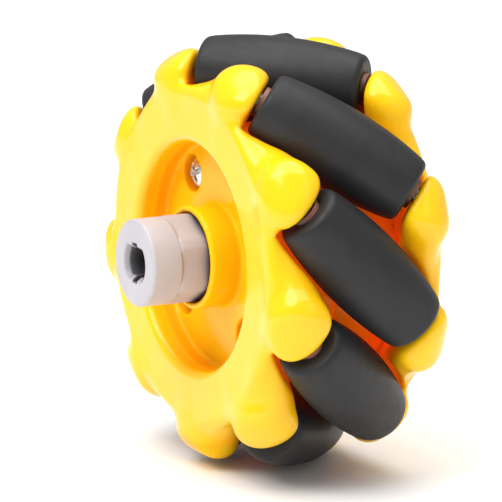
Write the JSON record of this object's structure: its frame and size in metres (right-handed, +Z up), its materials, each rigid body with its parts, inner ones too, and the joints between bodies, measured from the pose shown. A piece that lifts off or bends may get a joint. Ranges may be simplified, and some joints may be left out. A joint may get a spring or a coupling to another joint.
{
  "type": "mecanum wheel",
  "caption": "Mecanum wheel with free-spinning barrel rollers at 45 degrees between two screwed plates, and a hub coupling for a small gearmotor shaft.",
  "frame": {"origin": "wheel centre, on the axle line in the plane where the two plates meet", "axes": "+Y along the wheel's axle away from the motor, the coupling points to -Y, +Z up, the wheel turns about Y"},
  "size_m": [0.06, 0.0358, 0.06],
  "materials": {
    "yellow_plastic": "glossy moulded plastic",
    "grey_plastic": "satin moulded plastic",
    "core_plastic": "satin moulded plastic",
    "black_rubber": "satin rubber",
    "screw_steel": "plated steel",
    "pin_steel": "ground steel"
  },
  "bodies": {
    "hub": {"front_plate": "yellow_plastic", "rear_plate": "yellow_plastic", "motor_coupling": "grey_plastic", "plate_screws": "screw_steel", "roller_pin_1": "pin_steel", "roller_pin_2": "pin_steel", "roller_pin_3": "pin_steel", "roller_pin_4": "pin_steel", "roller_pin_5": "pin_steel", "roller_pin_6": "pin_steel", "roller_pin_7": "pin_steel", "roller_pin_8": "pin_steel", "roller_pin_9": "pin_steel"},
    "roller_1": {"roller_tread_1": "black_rubber", "roller_core_1": "core_plastic"},
    "roller_2": {"roller_tread_2": "black_rubber", "roller_core_2": "core_plastic"},
    "roller_3": {"roller_tread_3": "black_rubber", "roller_core_3": "core_plastic"},
    "roller_4": {"roller_tread_4": "black_rubber", "roller_core_4": "core_plastic"},
    "roller_5": {"roller_tread_5": "black_rubber", "roller_core_5": "core_plastic"},
    "roller_6": {"roller_tread_6": "black_rubber", "roller_core_6": "core_plastic"},
    "roller_7": {"roller_tread_7": "black_rubber", "roller_core_7": "core_plastic"},
    "roller_8": {"roller_tread_8": "black_rubber", "roller_core_8": "core_plastic"},
    "roller_9": {"roller_tread_9": "black_rubber", "roller_core_9": "core_plastic"}
  },
  "joints": [
    {"name": "roller_1_spin", "type": "hinge", "parent": "hub", "child": "roller_1", "pos_m": [0.02425, 0, 0.00153], "axis": [0.0444, 0.7071, -0.7057], "continuous": true},
    {"name": "roller_2_spin", "type": "hinge", "parent": "hub", "child": "roller_2", "pos_m": [0.0176, 0, 0.01676], "axis": [0.4876, 0.7071, -0.5121], "continuous": true},
    {"name": "roller_3_spin", "type": "hinge", "parent": "hub", "child": "roller_3", "pos_m": [0.00271, 0, 0.02415], "axis": [0.7027, 0.7071, -0.0788], "continuous": true},
    {"name": "roller_4_spin", "type": "hinge", "parent": "hub", "child": "roller_4", "pos_m": [-0.01345, 0, 0.02024], "axis": [0.589, 0.7071, 0.3913], "continuous": true},
    {"name": "roller_5_spin", "type": "hinge", "parent": "hub", "child": "roller_5", "pos_m": [-0.02331, 0, 0.00686], "axis": [0.1996, 0.7071, 0.6783], "continuous": true},
    {"name": "roller_6_spin", "type": "hinge", "parent": "hub", "child": "roller_6", "pos_m": [-0.02227, 0, -0.00973], "axis": [-0.2831, 0.7071, 0.648], "continuous": true},
    {"name": "roller_7_spin", "type": "hinge", "parent": "hub", "child": "roller_7", "pos_m": [-0.0108, 0, -0.02177], "axis": [-0.6334, 0.7071, 0.3144], "continuous": true},
    {"name": "roller_8_spin", "type": "hinge", "parent": "hub", "child": "roller_8", "pos_m": [0.00571, 0, -0.02362], "axis": [-0.6873, 0.7071, -0.1663], "continuous": true},
    {"name": "roller_9_spin", "type": "hinge", "parent": "hub", "child": "roller_9", "pos_m": [0.01956, 0, -0.01442], "axis": [-0.4196, 0.7071, -0.5691], "continuous": true}
  ]
}
